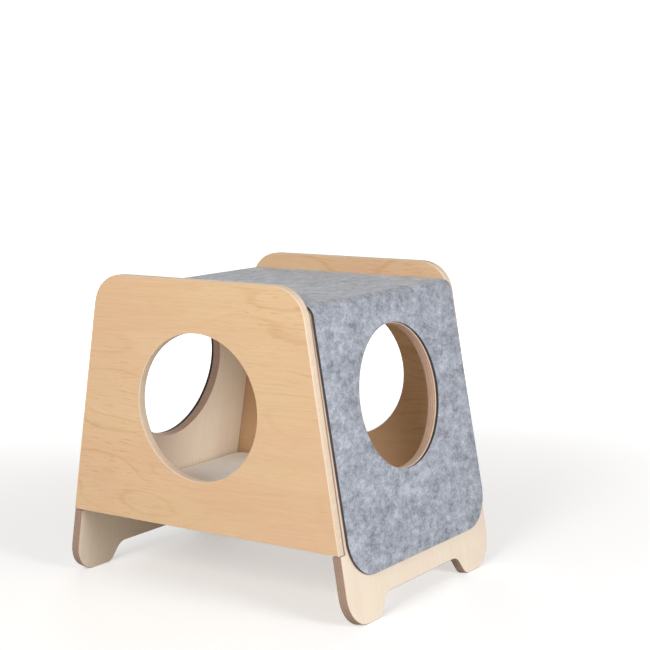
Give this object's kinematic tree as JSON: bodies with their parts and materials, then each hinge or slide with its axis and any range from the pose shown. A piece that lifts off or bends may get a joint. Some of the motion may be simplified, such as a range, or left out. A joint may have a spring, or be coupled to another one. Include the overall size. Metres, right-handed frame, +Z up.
{
  "type": "cat house",
  "caption": "Plywood and felt cat house: round-holed side panels on leaning end panels with rounded feet, a felt sheet over both ends and the top, and a mat inside.",
  "frame": {"origin": "centre of the rectangle that the feet stand on, at floor level", "axes": "+Z up; +X along the length, from the left end panel to the right one; +Y from the front side panel to the rear one"},
  "size_m": [0.4442, 0.346, 0.4],
  "materials": {
    "veneered_plywood": "clear matt lacquer over pale veneer with a fine grain, along the side panels and up the end panels",
    "board_plywood": "sanded plywood, unlacquered",
    "grey_felt": "thick pressed felt, heathered grey, dark cut edges",
    "pale_felt": "thin off-white felt",
    "beech": "plain turned beech",
    "screw_steel": "bright zinc-plated steel",
    "cam_zinc": "dull die-cast zinc"
  },
  "bodies": {
    "root": {"side_panel_front": "veneered_plywood", "side_panel_rear": "veneered_plywood", "end_panel_left": "veneered_plywood", "end_panel_right": "veneered_plywood", "top_board": "board_plywood", "floor_board": "board_plywood", "felt_cover": "grey_felt", "floor_mat": "pale_felt", "dowel_left_front_lower": "beech", "dowel_left_front_upper": "beech", "dowel_left_rear_lower": "beech", "dowel_left_rear_upper": "beech", "dowel_right_front_lower": "beech", "dowel_right_front_upper": "beech", "dowel_right_rear_lower": "beech", "dowel_right_rear_upper": "beech", "screw_top_left_front": "screw_steel", "screw_floor_left_front": "screw_steel", "screw_top_left_rear": "screw_steel", "screw_floor_left_rear": "screw_steel", "screw_top_right_front": "screw_steel", "screw_floor_right_front": "screw_steel", "screw_top_right_rear": "screw_steel", "screw_floor_right_rear": "screw_steel", "cam_top_left_front": "cam_zinc", "cam_stud_top_left_front": "screw_steel", "cam_top_left_rear": "cam_zinc", "cam_stud_top_left_rear": "screw_steel", "cam_top_right_front": "cam_zinc", "cam_stud_top_right_front": "screw_steel", "cam_top_right_rear": "cam_zinc", "cam_stud_top_right_rear": "screw_steel", "cam_floor_left_front": "cam_zinc", "cam_stud_floor_left_front": "screw_steel", "cam_floor_left_rear": "cam_zinc", "cam_stud_floor_left_rear": "screw_steel", "cam_floor_right_front": "cam_zinc", "cam_stud_floor_right_front": "screw_steel", "cam_floor_right_rear": "cam_zinc", "cam_stud_floor_right_rear": "screw_steel"}
  },
  "joints": []
}
